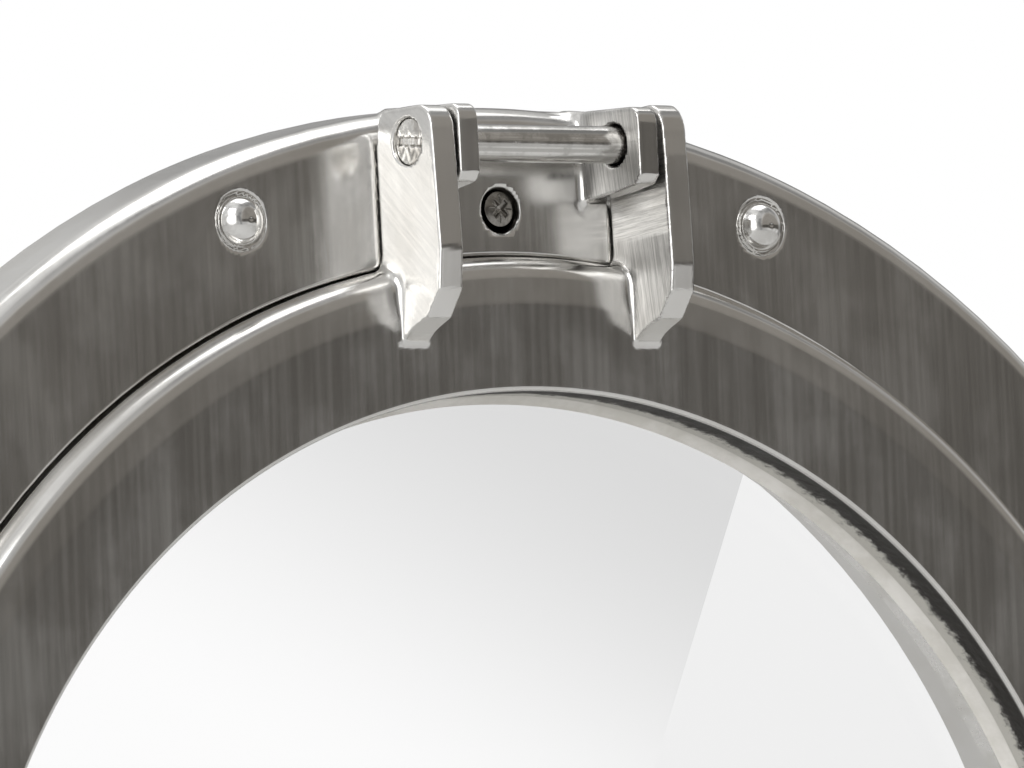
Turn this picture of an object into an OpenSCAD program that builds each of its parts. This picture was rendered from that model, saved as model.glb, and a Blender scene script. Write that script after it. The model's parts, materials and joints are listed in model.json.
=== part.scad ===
// Opening porthole for a boat: a cast frame with a top-hinged glazed door and two swing-bolt dogs.
// Millimetres. The origin is the centre of the flange's back face, +Z is up and the front faces -Y.
// Most shapes are drawn in the face frame (x right, y up, z out of the wall), which face() stands up.

/* [Frame] */
// Outer radius of the flange
flange_r = 190; // [186:0.5:196]
// Height of the flange's face above the wall
flange_h = 17; // [15:0.5:18]
// Width of the rounded outer edge of the flange
flange_round = 5; // [3:0.5:6]
// Draft of the flange's outer wall, measured at the start of the rounding
flange_draft = 0.8; // [0:0.1:1.5]
// Radius of the recess that the door drops into
recess_r = 160.8; // [160.5:0.1:162]
// Height of the recess's floor above the wall
recess_h = 6; // [5:0.5:6]
// Radius of the bore through the frame
bore_r = 146.6; // [146.2:0.1:147]
// Outer radius of the spigot that goes through the wall
spigot_r = 151; // [150:0.5:152]
// Length of the spigot behind the wall's face
spigot_len = 22; // [10:1:30]
// Depth of the hollow in the flange's back
channel_h = 11; // [6:0.5:12]

/* [Fixings] */
// Number of dome-head screws round the flange
dome_count = 9; // [3:3:9]
// Radius of the circle that the dome-head screws stand on
dome_circle_r = 177; // [175:0.5:178]
// Radius of each dome head
dome_r = 4.9; // [4:0.1:5.5]
// Radius of each screw's thread
shank_r = 2.5; // [2:0.1:3]
// Length of each shank behind the flange
shank_len = 25; // [10:1:40]
// Height of the countersunk hinge screw on the frame
hinge_screw_z = 169.3; // [168:0.1:170]
// Offset of the countersunk hinge screw from the middle
hinge_screw_x = -0.8; // [-2:0.1:2]

/* [Door] */
// Outer radius of the door ring
door_r = 159.5; // [159:0.1:159.7]
// Height of the door ring's front face
door_h = 23; // [22:0.5:24]
// Radius of the clear glass
sight_r = 134; // [132:0.5:135]
// Height of the front of the glass
glass_h = 9; // [8:0.5:12.5]
// Thickness of the glass
glass_t = 5.5; // [4:0.5:6]
// Outer radius of the barrel that holds the glass
barrel_r = 145; // [144.5:0.1:145]
// Number of screws in the glass retaining ring
retainer_count = 8; // [4:1:12]

/* [Hinge] */
// Height of the hinge pin's axis above the centre
pin_z = 180.5; // [180:0.1:181]
// Distance of the hinge pin's axis from the wall
pin_h = 27.3; // [27.2:0.1:28]
// Radius of the hinge pin
pin_r = 3.6; // [3:0.1:4]
// Half of the gap between the frame's lugs
lug_in = 18.5; // [16:0.5:19]
// Thickness of each lug
lug_t = 4; // [3:0.5:4.5]
// Inner face of the left door arm
arm_left = 23.6; // [23.4:0.1:25]
// Inner face of the right door arm
arm_right = 24.8; // [24:0.1:26]
// Thickness of each door arm
arm_t = 5.4; // [5:0.1:6]

/* [Dogs] */
// Clock angle of each dog from the hinge
dog_angle = 120; // [100:5:120]
// Radius of the circle through the dogs' pivots
dog_pivot_r = 175.5; // [175:0.5:176]
// Distance of each dog's pivot from the wall
dog_pivot_h = 24.5; // [24.5:0.1:25]
// How far each dog is swung out of its fork, in degrees
dog_out = 60; // [50:1:60]
// Radius of the dog's threaded stem
stem_r = 5; // [4:0.1:5]
// Travel of the ear nut between loose and tight
nut_travel = 6; // [4:0.5:6]

/* [Hidden] */
$fn = 96;
ring_fn = 180;
eps = 0.01;
play = 0.1;
// Plain shank of a screw, over the radius of its thread, and the height where the thread starts
plain = 0.4;
thread_top = -0.4;
// Relief at the front of the bore, behind the recess's floor
relief = 0.6;
relief_h = -4;
// Ledge that the glass bears against, and the rabbet behind it
bedding_t = 0.8;
rabbet_r = sight_r + 5.5;
glass_r = rabbet_r - 0.9;
glass_back = glass_h - glass_t;
// The door ring's back face, and the groove in it for the rubber gasket
lip_h = recess_h + 4;
groove_in = 148.6;
groove_out = 156.4;
groove_h = lip_h + 3.5;
seat_r = (groove_in + groove_out) / 2;
seat_h = 2.6;
// Retaining ring behind the glass
retainer_in = sight_r + 2.7;
retainer_t = 2.2;
barrel_back = glass_back - 2;
retainer_circle_r = 142.3;
// Hollow in the flange's back, between its outer wall and its inner wall
channel_in = 164.5;
channel_out = 183.5;
boss_r = 7;
// Groove in the flange's back for the seal
seal_in = 156;
seal_out = 160;
seal_h = 2;
// Dog: distances from the pivot along the stem
eye_r = 6.2;
eye_half = stem_r;
ear_half = eye_half + 0.3;
ear_t = 4;
ear_r = 6.5;
dog_pin_r = 3;
fork_t = 5.5;
fork_h = dog_pivot_h + eye_r + 0.8;
fork_reach = 6.5;
washer_t = 1.6;
washer_r = 8.5;
nut_len = 13;
washer_s = fork_h + fork_t - dog_pivot_h + 0.05 + nut_travel;
nut_s = washer_s + washer_t + 0.05;
stem_len = nut_s + nut_len + 1.8;
cap_t = 3;
wing_r = 5.5;
wing_out = 10.5;

// Stands a shape drawn in the face frame up against the wall
module face() rotate([90, 0, 0]) children();
// Turns a shape drawn at the top of the ring to a clock angle
module clock(a) rotate([0, 0, -a]) children();
// Repeats a shape n times round the ring, starting half a step from the top
module around(n) for (i = [0 : n - 1]) clock((i + 0.5) * 360 / n) children();
// Sweeps a (radius, height) outline round the ring
module ring(points) rotate_extrude($fn = ring_fn) polygon(points);
// Flat ring between two radii and two heights
module band(r_in, r_out, h_low, h_high)
    ring([[r_in, h_low], [r_out, h_low], [r_out, h_high], [r_in, h_high]]);
// Plate drawn in (y, z) with its thickness along x
module plate(x_from, x_to, points)
    translate([x_from, 0, 0]) rotate([90, 0, 90]) linear_extrude(x_to - x_from) polygon(points);
// Round bar along x
module bar(x_from, x_to, r)
    translate([x_from, 0, 0]) rotate([0, 90, 0]) cylinder(h = x_to - x_from, r = r);
// Points of a quarter ellipse from angle 0 to 90 about a centre
function quarter(cx, cy, rx, ry, n = 8) = [for (i = [0 : n]) [cx + rx * cos(90 * i / n),
                                                              cy + ry * sin(90 * i / n)]];

// Frame --------------------------------------------------------------------------------------

// Cross-section of the cast frame, as (radius, height)
function frame_section() = concat(
    [[bore_r, -spigot_len], [spigot_r, -spigot_len], [spigot_r, 0], [flange_r, 0]],
    quarter(flange_r - flange_draft - flange_round, flange_h - flange_round - 1,
            flange_round, flange_round + 1),
    [[recess_r + 0.5, flange_h], [recess_r, flange_h - 0.5], [recess_r, recess_h],
     [seat_r + 1.8, recess_h], [seat_r + 0.8, recess_h + seat_h], [seat_r - 0.8, recess_h + seat_h],
     [seat_r - 1.8, recess_h], [bore_r + relief, recess_h], [bore_r + relief, relief_h],
     [bore_r, relief_h]]);

// Lug that the hinge pin turns in, with its foot sunk into the flange
module hinge_lug(x_from)
    plate(x_from, x_from + lug_t, concat(
        [[171, flange_h - 3], [188, flange_h - 5], [188.1, flange_h], [187.2, 33]],
        [for (i = [0 : 6]) [184.2 + 3 * cos(90 * i / 6), 33 + 3 * sin(90 * i / 6)]],
        [[173.5, 35.4], [172, 34], [171.4, 27]]));

// Pair of ears that a dog's pivot goes through, with a web that stops the stem's outward swing
module dog_bracket() {
    plate(-ear_half - 1, ear_half + 1,
          [[dog_pivot_r + 6.7, flange_h - 3], [dog_pivot_r + 9.4, flange_h - 3],
           [dog_pivot_r + 9.4, dog_pivot_h - 1], [dog_pivot_r + 6.7, dog_pivot_h - 2.5]]);
    for (s = [0, 1]) mirror([s, 0, 0]) {
        plate(ear_half, ear_half + ear_t,
              [[dog_pivot_r - ear_r - 2.5, flange_h - 3], [dog_pivot_r + ear_r + 2.5, flange_h - 3],
               [dog_pivot_r + ear_r + 2.5, flange_h + 0.5], [dog_pivot_r + ear_r, dog_pivot_h],
               [dog_pivot_r - ear_r, dog_pivot_h], [dog_pivot_r - ear_r - 2.5, flange_h + 0.5]]);
        translate([0, dog_pivot_r, dog_pivot_h]) bar(ear_half, ear_half + ear_t, ear_r);
    }
}

module frame_ring() color("lightgray") face() difference() {
    union() {
        difference() {
            ring(frame_section());
            band(channel_in, channel_out, -1, channel_h);
            band(seal_in, seal_out, -1, seal_h);
        }
        around(dome_count) translate([0, dome_circle_r, 0]) cylinder(h = channel_h + 1, r = boss_r);
        translate([hinge_screw_x, hinge_screw_z, 0]) cylinder(h = channel_h + 1, r = boss_r - 1.5);
        hinge_lug(lug_in);
        hinge_lug(-lug_in - lug_t);
        for (a = [-dog_angle, dog_angle]) clock(a) dog_bracket();
    }
    around(dome_count) translate([0, dome_circle_r, -1]) {
        cylinder(h = flange_h + 2, r = shank_r + plain + play);
        translate([0, 0, flange_h + 0.5]) cylinder(h = 2, r = dome_r + 0.3);
    }
    translate([hinge_screw_x, hinge_screw_z, -1]) {
        cylinder(h = flange_h + 2, r = shank_r + play);
        translate([0, 0, flange_h - 1.4]) cylinder(h = 2.41, r1 = 2.4, r2 = 4.7);
    }
    translate([0, pin_z, pin_h]) {
        bar(-lug_in - lug_t - 1, lug_in + lug_t + 1, pin_r + 0.08);
        for (s = [0, 1]) mirror([s, 0, 0]) translate([lug_in - eps, 0, 0]) rotate([0, 90, 0])
            cylinder(h = 0.8, r1 = pin_r + 0.75, r2 = pin_r + 0.08);
    }
    for (a = [-dog_angle, dog_angle]) clock(a) translate([0, dog_pivot_r, dog_pivot_h])
        bar(-ear_half - ear_t - 1, ear_half + ear_t + 1, dog_pin_r + 0.02);
}

module hull_seal() color("dimgray") face() band(seal_in + 0.1, seal_out - 0.1, 0, seal_h - 0.05);

// Dome-head screw seated 0.5 below the flange's face
module dome_screw() {
    translate([0, 0, flange_h - 0.5]) intersection() {
        translate([0, 0, -1.2]) sphere(r = dome_r + 0.15);
        cylinder(h = 6, r = dome_r);
    }
    cylinder(h = flange_h, r = shank_r + plain);
    translate([0, 0, -shank_len]) cylinder(h = shank_len + eps, r = shank_r);
}

module dome_screws() color("silver") face()
    around(dome_count) translate([0, dome_circle_r, 0]) dome_screw();

// Cross-shaped driver recess with a diagonal mark, cut to a depth
module cross_recess(depth)
    for (a = [0, 90]) rotate([0, 0, a + 45]) translate([-2, -0.45, -depth]) cube([4, 0.9, depth + 1]);

module hinge_screw() color("dimgray") face() translate([hinge_screw_x, hinge_screw_z, 0]) difference() {
    union() {
        translate([0, 0, flange_h - 3.1]) cylinder(h = 1.9, r1 = 1.9, r2 = 3.3);
        translate([0, 0, flange_h - 1.21]) cylinder(h = 0.3, r = 3.3);
        translate([0, 0, thread_top]) cylinder(h = flange_h - 2 - thread_top, r = shank_r - 0.2);
        translate([0, 0, thread_top - shank_len]) cylinder(h = shank_len + eps, r = shank_r - 0.6);
    }
    translate([0, 0, flange_h - 0.9]) cross_recess(1.2);
}

// Door ---------------------------------------------------------------------------------------

// Cross-section of the door ring, as (radius, height)
function door_section() = concat(
    [[rabbet_r, barrel_back], [barrel_r, barrel_back], [barrel_r, lip_h], [groove_in, lip_h],
     [groove_in, groove_h], [groove_out, groove_h], [groove_out, lip_h], [door_r - 0.6, lip_h],
     [door_r, lip_h + 0.6]],
    quarter(door_r - 4.2, door_h - 5.2, 4.2, 5.2),
    [[150.5, door_h + 0.1]],
    [for (i = [0 : 5]) [sight_r + 1.6 - 1.6 * sin(90 * i / 5),
                        door_h - 2.4 + 1.6 * cos(90 * i / 5)]],
    [[sight_r, glass_h + bedding_t], [rabbet_r, glass_h + bedding_t]]);

// Side outline of a hinge arm: foot on the ring, bevel, long front face, rounded head
function arm_outline(lift) = concat(
    [[143.6, door_h - 1.5], [144.2, 25.6], [146.7, 31], [151.8, 35.3], [160.2, 36.1], [178, 35.4]],
    [for (i = [0 : 8]) [182.2 + (4.9 + lift) * sin(90 * i / 8), 30.6 + 4.6 * cos(90 * i / 8)]],
    [[187.2 + lift / 2, 23], [187, 20.3], [184.8, 18.6], [181, 18.2], [160.4, 18.2], [157, 17],
     [150, 17]]);

// Fork that a dog's stem drops into, standing on the door ring
module dog_fork() difference() {
    plate(-13, 13, [[146.5, door_h - 1.5], [147.6, 26], [150, 32.5], [154, fork_h + fork_t],
                    [dog_pivot_r + fork_reach, fork_h + fork_t], [dog_pivot_r + fork_reach, fork_h],
                    [163.5, fork_h], [160.4, 27], [158, 18], [150, 17]]);
    translate([0, dog_pivot_r - 0.4, fork_h - 9]) {
        cylinder(h = 20, r = stem_r + 0.5);
        translate([-stem_r - 0.5, 0, 0]) cube([2 * stem_r + 1, 20, 20]);
    }
}

module door_ring() color("gainsboro") face() difference() {
    union() {
        ring(door_section());
        plate(-arm_left - arm_t, -arm_left, arm_outline(0));
        plate(arm_right, arm_right + arm_t, arm_outline(0.8));
        for (a = [-dog_angle, dog_angle]) clock(a) dog_fork();
    }
    translate([0, pin_z, pin_h]) {
        bar(-40, 40, pin_r + 0.02);
        bar(-40, -arm_left - arm_t + 2.2, 4.5);
        bar(arm_right + arm_t - 2.2, 40, 4.5);
    }
    around(retainer_count) translate([0, retainer_circle_r, barrel_back - 1])
        cylinder(h = 8, r = 1.3);
}

module door_gasket() color("#222222") face() difference() {
    band(groove_in + 0.1, groove_out - 0.1, lip_h - 1, groove_h - 0.05);
    band(seat_r - 1.2, seat_r + 1.2, lip_h - 2, lip_h - 0.7);
}

module glass_pane() color("lightblue") face()
    translate([0, 0, glass_back]) cylinder(h = glass_t, r = glass_r, $fn = ring_fn);

// Sealant round the edge of the glass, with a leg between the glass and the ledge
module glass_bedding() color("#b5ae9e") face() union() {
    band(sight_r + 0.4, rabbet_r - 0.05, glass_h + 0.02, glass_h + bedding_t - 0.03);
    band(glass_r + 0.05, rabbet_r - 0.05, glass_back, glass_h + 0.02);
}

module glass_retainer() color("silver") face() difference() {
    union() {
        band(retainer_in, barrel_r - 0.5, barrel_back - retainer_t - 0.02, barrel_back - 0.02);
        band(retainer_in, rabbet_r - 0.3, barrel_back - 0.03, glass_back - 0.02);
    }
    around(retainer_count) translate([0, retainer_circle_r, barrel_back - retainer_t - 1]) {
        cylinder(h = 4, r = 1.35);
        cylinder(h = 2.2, r1 = 3.4, r2 = 1.3);
    }
}

module retainer_screws() color("silver") face() around(retainer_count)
    translate([0, retainer_circle_r, barrel_back - retainer_t]) difference() {
        union() {
            cylinder(h = 1.15, r1 = 2.3, r2 = 1.25);
            cylinder(h = 8, r = 1.25);
        }
        translate([-3, -0.35, -1]) cube([6, 0.7, 1.7]);
    }

// Hinge --------------------------------------------------------------------------------------

module hinge_pin() color("silver") face() translate([0, pin_z, pin_h]) difference() {
    bar(-arm_left - arm_t + 2.25, arm_right + arm_t - 2.25, pin_r);
    bar(-40, -arm_left - arm_t + 12, 2.05);
    bar(arm_right + arm_t - 12, 40, 2.05);
}

// Slotted screw whose head fills the counterbore in an arm, drawn with its head at x = 0
module pin_screw() difference() {
    union() {
        bar(0, 2, 4.38);
        bar(0, 9, 2);
    }
    translate([-1, -0.55, -5]) cube([2, 1.1, 10]);
}

module hinge_pin_screws() color("silver") face() translate([0, pin_z, pin_h]) {
    translate([-arm_left - arm_t + 0.15, 0, 0]) pin_screw();
    translate([arm_right + arm_t - 0.15, 0, 0]) mirror([1, 0, 0]) pin_screw();
}

// Dogs ---------------------------------------------------------------------------------------

// Puts a shape drawn at a dog's pivot, with its stem along z, in its place on one side
module dog(side) color("silver") face() clock(side * dog_angle)
    translate([0, dog_pivot_r, dog_pivot_h]) rotate([-dog_out, 0, 0]) children();

module dog_pivot() {
    bar(-ear_half - ear_t - 1.2, ear_half + ear_t + 0.9, dog_pin_r);
    bar(-ear_half - ear_t - 1.6, -ear_half - ear_t - 0.02, 4.4);
}

module dog_bolt() difference() {
    union() {
        bar(-eye_half, eye_half, eye_r);
        cylinder(h = stem_len, r = stem_r - 0.02);
    }
    bar(-10, 10, dog_pin_r + 0.06);
    translate([0, 0, stem_len - 6]) cylinder(h = 7, r = 2.05);
}

module dog_washer() translate([0, 0, washer_s]) difference() {
    cylinder(h = washer_t, r = washer_r);
    translate([0, 0, -1]) cylinder(h = 4, r = stem_r + 0.2);
}

// Barrel nut with a pair of round ears
module dog_nut() translate([0, 0, nut_s]) difference() {
    union() {
        cylinder(h = 2, r = washer_r - 0.6);
        translate([0, 0, 1.99]) cylinder(h = nut_len - 2, r1 = washer_r - 0.9, r2 = 7.2);
        for (s = [-1, 1]) translate([s * wing_out, 2, nut_len - wing_r]) rotate([90, 0, 0])
            cylinder(h = 4, r = wing_r);
        translate([-wing_out, -2, nut_len - 9]) cube([2 * wing_out, 4, 7]);
    }
    translate([0, 0, -1]) cylinder(h = nut_len + 2, r = stem_r + 0.06);
}

module dog_end_cap() translate([0, 0, stem_len + 0.02]) {
    intersection() {
        cylinder(h = cap_t, r = 5.8);
        translate([0, 0, -5]) sphere(r = 8);
    }
    translate([0, 0, -5]) cylinder(h = 5.5, r = 2);
}

module dog_pivot_left() dog(-1) dog_pivot();
module dog_bolt_left() dog(-1) dog_bolt();
module dog_washer_left() dog(-1) dog_washer();
module dog_nut_left() dog(-1) dog_nut();
module dog_end_cap_left() dog(-1) dog_end_cap();
module dog_pivot_right() dog(1) dog_pivot();
module dog_bolt_right() dog(1) dog_bolt();
module dog_washer_right() dog(1) dog_washer();
module dog_nut_right() dog(1) dog_nut();
module dog_end_cap_right() dog(1) dog_end_cap();

frame_ring();
hull_seal();
dome_screws();
hinge_screw();
door_ring();
door_gasket();
glass_pane();
glass_bedding();
glass_retainer();
retainer_screws();
hinge_pin();
hinge_pin_screws();
dog_pivot_left();
dog_bolt_left();
dog_washer_left();
dog_nut_left();
dog_end_cap_left();
dog_pivot_right();
dog_bolt_right();
dog_washer_right();
dog_nut_right();
dog_end_cap_right();
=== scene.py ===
"""Opening porthole: polished castings, glass, hinge and dogs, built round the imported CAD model.

The castings are meshed from signed distances in the face frame, in millimetres: x to the right, y up and
h out of the wall. put() turns that frame into the row's frame, in metres: x, -h, y.
"""
import json
import math

import bpy
import numpy as np
from mathutils import Matrix, Vector


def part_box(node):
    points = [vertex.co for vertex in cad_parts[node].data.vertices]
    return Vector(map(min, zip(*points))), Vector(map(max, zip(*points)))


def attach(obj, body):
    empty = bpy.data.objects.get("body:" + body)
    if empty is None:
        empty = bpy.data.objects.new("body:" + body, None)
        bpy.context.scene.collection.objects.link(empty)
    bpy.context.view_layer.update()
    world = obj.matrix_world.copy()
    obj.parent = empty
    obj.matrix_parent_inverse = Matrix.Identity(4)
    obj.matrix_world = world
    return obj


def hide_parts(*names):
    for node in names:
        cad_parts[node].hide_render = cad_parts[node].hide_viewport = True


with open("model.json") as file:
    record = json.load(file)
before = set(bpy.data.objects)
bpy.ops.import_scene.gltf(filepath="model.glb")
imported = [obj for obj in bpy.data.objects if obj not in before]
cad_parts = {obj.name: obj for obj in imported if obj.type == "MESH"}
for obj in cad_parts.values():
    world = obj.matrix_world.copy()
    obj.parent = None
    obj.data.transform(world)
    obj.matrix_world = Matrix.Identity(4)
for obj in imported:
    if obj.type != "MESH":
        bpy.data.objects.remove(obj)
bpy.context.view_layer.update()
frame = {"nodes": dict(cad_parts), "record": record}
MM = 0.001

# Driving dimensions, in millimetres ----------------------------------------------------------
JOINTS = {j["name"]: j for j in frame["record"]["behaviour"]["joints"]}
RIM_PAST_SEAL = 30.1
FLANGE_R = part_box("hull_seal")[1][0] / MM + RIM_PAST_SEAL
FLANGE_H = 17.0
RIM_SLOPE, RIM_ROUND = 0.8, (5, 6)
RECESS_R = 160.3
RECESS_H = 6.0
HOLLOW_R, HOLLOW_H, BOSS_H = (164.5, 183.5), 11, 12
SEAL_R, SEAL_DEPTH = (156, 160), 2
RIB_H = 8.6
BORE_R = 146.6
SPIGOT_R = 151.0
SPIGOT_LEN = 22.0
DOOR_R = 159.95
DOOR_H = 23.0
DOOR_ROUND = (4.2, 5.2)
SIGHT_R = 134.0
SIGHT_ROUND = 0.7
RABBET_R = 139.5
BARREL_R = 145.0
LIP_H = 10.0
GROOVE_R, GROOVE_H = (148.6, 156.4), 13.5
GLASS_H = 9.0
GLASS_T = 5.5
PANE_R = 138.6
BARREL_BACK = GLASS_H - GLASS_T - 2
DOME_COUNT = 9
DOME_CIRCLE_R = 177.0
DOME_R = 4.9
DOME_STEP = 360.0 / DOME_COUNT
BALL_H, BALL_R = 15.3, 5.05
SHANK_R = 2.5
HINGE_SCREW = (-0.8, 169.3)
HINGE_SINK = (HINGE_SCREW[0] - 0.35, HINGE_SCREW[1] - 0.35)
HINGE_SINK_R = 4.6
PIN_H = -JOINTS["door_hinge"]["pos_m"][1] / MM
PIN_Y = JOINTS["door_hinge"]["pos_m"][2] / MM
PIN_R = 3.6
PIN_SCREW_R, PIN_SCREW_SINK = 4.5, 2.2
LUG_IN, LUG_T = 18.5, 4.6
ARM_T = 5.4
ARM_TOP, ARM_DRAFT = 36, 0.04
ARM_X = (-23.6 - ARM_T / 2, 24.8 + ARM_T / 2)
PIN_ENDS = (ARM_X[0] - ARM_T / 2, ARM_X[1] + ARM_T / 2)
DOG_ANGLES = {"left": -120.0, "right": 120.0}
DOG_R = math.hypot(*[JOINTS["dog_swing_left"]["pos_m"][i] / MM for i in (0, 2)])
DOG_H = -JOINTS["dog_swing_left"]["pos_m"][1] / MM
DOG_OUT = JOINTS["dog_swing_left"]["range_deg"][1]
EYE_R, STEM_R, EAR_T, EAR_R = 6.2, 5.0, 4.0, 6.5
PIVOT_R = 3.0
WEB_OUT = (6.7, 9.4)
EAR_X = STEM_R + 0.3 + EAR_T / 2
FORK_H, FORK_T, FORK_REACH, FORK_HALF_W = 31.5, 5.5, 6.5, 13
THREAD_PITCH = 1.5
WASHER_T, NUT_LEN = 1.6, 13
WASHER_S = FORK_H + FORK_T - DOG_H + 0.05 + JOINTS["washer_slide_left"]["range_m"][1] / MM
NUT_S = WASHER_S + WASHER_T + 0.05
STEM_LEN = NUT_S + NUT_LEN + 1.8


def put(x, y, h):
    """Points of the face frame in the row's frame."""
    return np.stack([x, -h, y], -1) * MM


# Signed distances -----------------------------------------------------------------------------
def join(a, b, k):
    """Union of two solids with a cove of about k where they meet."""
    blend = np.maximum(k - np.abs(a - b), 0) / k
    return np.minimum(a, b) - blend * blend * k / 4


def cut(a, b, k=0.3):
    """Solid a without solid b, with an edge eased by about k."""
    return -join(-a, b, k)


def turned(angle, x, y):
    """x and y in the frame of a clock angle, where y points outwards."""
    s, c = math.sin(math.radians(angle)), math.cos(math.radians(angle))
    return x * c - y * s, x * s + y * c


def arc(cx, cy, rx, ry, start, end, steps=24):
    """Points of an elliptical arc between two angles in degrees."""
    ts = np.radians(np.linspace(start, end, steps + 1))
    return [(cx + rx * math.cos(t), cy + ry * math.sin(t)) for t in ts]


class Outline:
    """Signed distance to a closed 2-D outline, kept on a fine grid and softened at its corners."""

    CELL = 0.12

    def __init__(self, points, soft=4, margin=9.0):
        points = np.array(points, float)
        self.low = points.min(0) - margin
        size = np.ceil((points.max(0) + margin - self.low) / self.CELL).astype(int) + 1
        u = self.low[0] + np.arange(size[0])[:, None] * self.CELL
        v = self.low[1] + np.arange(size[1])[None, :] * self.CELL
        nearest = np.full(size, 1e9)
        inside = np.zeros(size, bool)
        for (ax, ay), (bx, by) in zip(points, np.roll(points, -1, 0)):
            ex, ey = bx - ax, by - ay
            along = np.clip(((u - ax) * ex + (v - ay) * ey) / (ex * ex + ey * ey + 1e-12), 0, 1)
            nearest = np.minimum(nearest, (u - ax - along * ex) ** 2 + (v - ay - along * ey) ** 2)
            if ay != by:
                inside ^= ((v >= ay) != (v >= by)) & (u < ax + (v - ay) * ex / ey)
        field = np.where(inside, -1, 1) * np.sqrt(nearest)
        for _ in range(soft):
            field[1:-1] = (field[:-2] + 2 * field[1:-1] + field[2:]) / 4
            field[:, 1:-1] = (field[:, :-2] + 2 * field[:, 1:-1] + field[:, 2:]) / 4
        self.field = field.astype(np.float32)

    def __call__(self, u, v):
        u, v = np.broadcast_arrays(u, v)
        s, t = (u - self.low[0]) / self.CELL, (v - self.low[1]) / self.CELL
        i = np.clip(s.astype(np.int32), 0, self.field.shape[0] - 2)
        j = np.clip(t.astype(np.int32), 0, self.field.shape[1] - 2)
        s, t = np.clip(s - i, 0, 1), np.clip(t - j, 0, 1)
        f = self.field
        return ((f[i, j] * (1 - s) + f[i + 1, j] * s) * (1 - t)
                + (f[i, j + 1] * (1 - s) + f[i + 1, j + 1] * s) * t)


def slab(flat, off, half, edge):
    """A flat shape given thickness 2 x half, its edges rounded to the radius edge."""
    a, b = flat + edge, np.abs(off) - half + edge
    return np.hypot(np.maximum(a, 0), np.maximum(b, 0)) + np.minimum(np.maximum(a, b), 0) - edge


def rod(u, v, r):
    """Endless round bar along the third axis."""
    return np.hypot(u, v) - r


def surface_net(field, us, vs, ws, place, wrap=False):
    """Vertices, quads and normals of the surface where field is 0, from a grid with any spacing."""
    grid = place(*np.meshgrid(us, vs, ws, indexing="ij"))
    d = field(*grid)
    if wrap:
        d = np.concatenate([d, d[:1]])
        grid = [np.concatenate([g, g[:1]]) for g in grid]
    inner = d < 0
    n = [s - 1 for s in d.shape]
    corners = [(i, j, k) for i in (0, 1) for j in (0, 1) for k in (0, 1)]
    # Cells that the surface passes through, each with a vertex in the middle of its edges' crossings.
    count = sum(inner[i:i + n[0], j:j + n[1], k:k + n[2]].astype(np.uint8) for i, j, k in corners)
    mixed = (count > 0) & (count < 8)
    ids = np.full(n, -1)
    ids[mixed] = np.arange(mixed.sum())
    cells = np.argwhere(mixed)
    where = [tuple((cells + c).T) for c in corners]
    value = [d[w] for w in where]
    spot = [np.stack([g[w] for g in grid], -1) for w in where]
    total, hits = np.zeros((len(cells), 3)), np.zeros((len(cells), 1))
    for a in range(8):
        for b in (a | 1, a | 2, a | 4):
            if b == a:
                continue
            crossing = ((value[a] < 0) != (value[b] < 0))[:, None]
            gap = np.where(crossing[:, 0], value[a] - value[b], 1)
            t = (value[a] / gap)[:, None]
            total += np.where(crossing, spot[a] + t * (spot[b] - spot[a]), 0)
            hits += crossing
    verts = total / hits
    # The vertices are pulled onto the surface.
    for _ in range(4):
        slope = gradient(field, verts)
        reach = field(*verts.T) / np.maximum((slope ** 2).sum(1), 0.3)
        verts -= np.clip(reach, -0.4, 0.4)[:, None] * slope
    ids = np.pad(ids, ((0, 0), (1, 1), (1, 1)), constant_values=-1)
    ids = (np.concatenate([ids[-1:], ids]) if wrap
           else np.pad(ids, ((1, 1), (0, 0), (0, 0)), constant_values=-1))
    # Each grid edge that crosses the surface has a quad through the four cells round it.
    faces = []
    for axis in range(3):
        b, c = [k for k in range(3) if k != axis]
        low = [slice(None)] * 3
        high = [slice(None)] * 3
        low[axis], high[axis] = slice(None, -1), slice(1, None)
        edges = np.argwhere(inner[tuple(low)] != inner[tuple(high)])
        if wrap and axis:
            edges = edges[edges[:, 0] < n[0]]
        flip = inner[tuple(edges.T)] == (axis == 1)
        quad = []
        for ob, oc in ((0, 0), (1, 0), (1, 1), (0, 1)):
            at = edges.copy()
            at[:, axis] += 1
            at[:, b] += ob
            at[:, c] += oc
            quad.append(ids[tuple(at.T)])
        quad = np.stack(quad, 1)
        quad[flip] = quad[flip][:, ::-1]
        faces.append(quad)
    return verts, np.concatenate(faces), gradient(field, verts, 0.12)


def gradient(field, p, eps=0.05):
    """Central-difference gradient of a field at points."""
    x, y, h = p.T
    return np.stack([field(x + eps, y, h) - field(x - eps, y, h),
                     field(x, y + eps, h) - field(x, y - eps, h),
                     field(x, y, h + eps) - field(x, y, h - eps)], 1) / (2 * eps)


def around(theta, r, h):
    """Grid of clock angle, radius and height as points of the face frame."""
    return r * np.sin(theta), r * np.cos(theta), h


def runs(*stops):
    """Grid lines from runs of (start, end, step)."""
    lines = [np.linspace(a, b, max(2, int(round((b - a) / step)) + 1)) for a, b, step in stops]
    lines = np.unique(np.round(np.concatenate(lines), 4))
    return lines[np.concatenate([[True], np.diff(lines) > 0.05])]


def clock_lines(coarse, *fine):
    """Angles round the ring in radians: coarse degrees everywhere, and (centre, half, step) runs."""
    lines = np.arange(0, 360, coarse)
    for centre, half, step in fine:
        lines = lines[np.abs((lines - centre + 180) % 360 - 180) > half + 0.4 * coarse]
        count = int(round(2 * half / step)) + 1
        lines = np.append(lines, (centre + np.linspace(-half, half, count)) % 360)
    lines = np.sort(lines)
    return np.radians(lines[np.concatenate([[True], np.diff(lines) > 0.02])])


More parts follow.
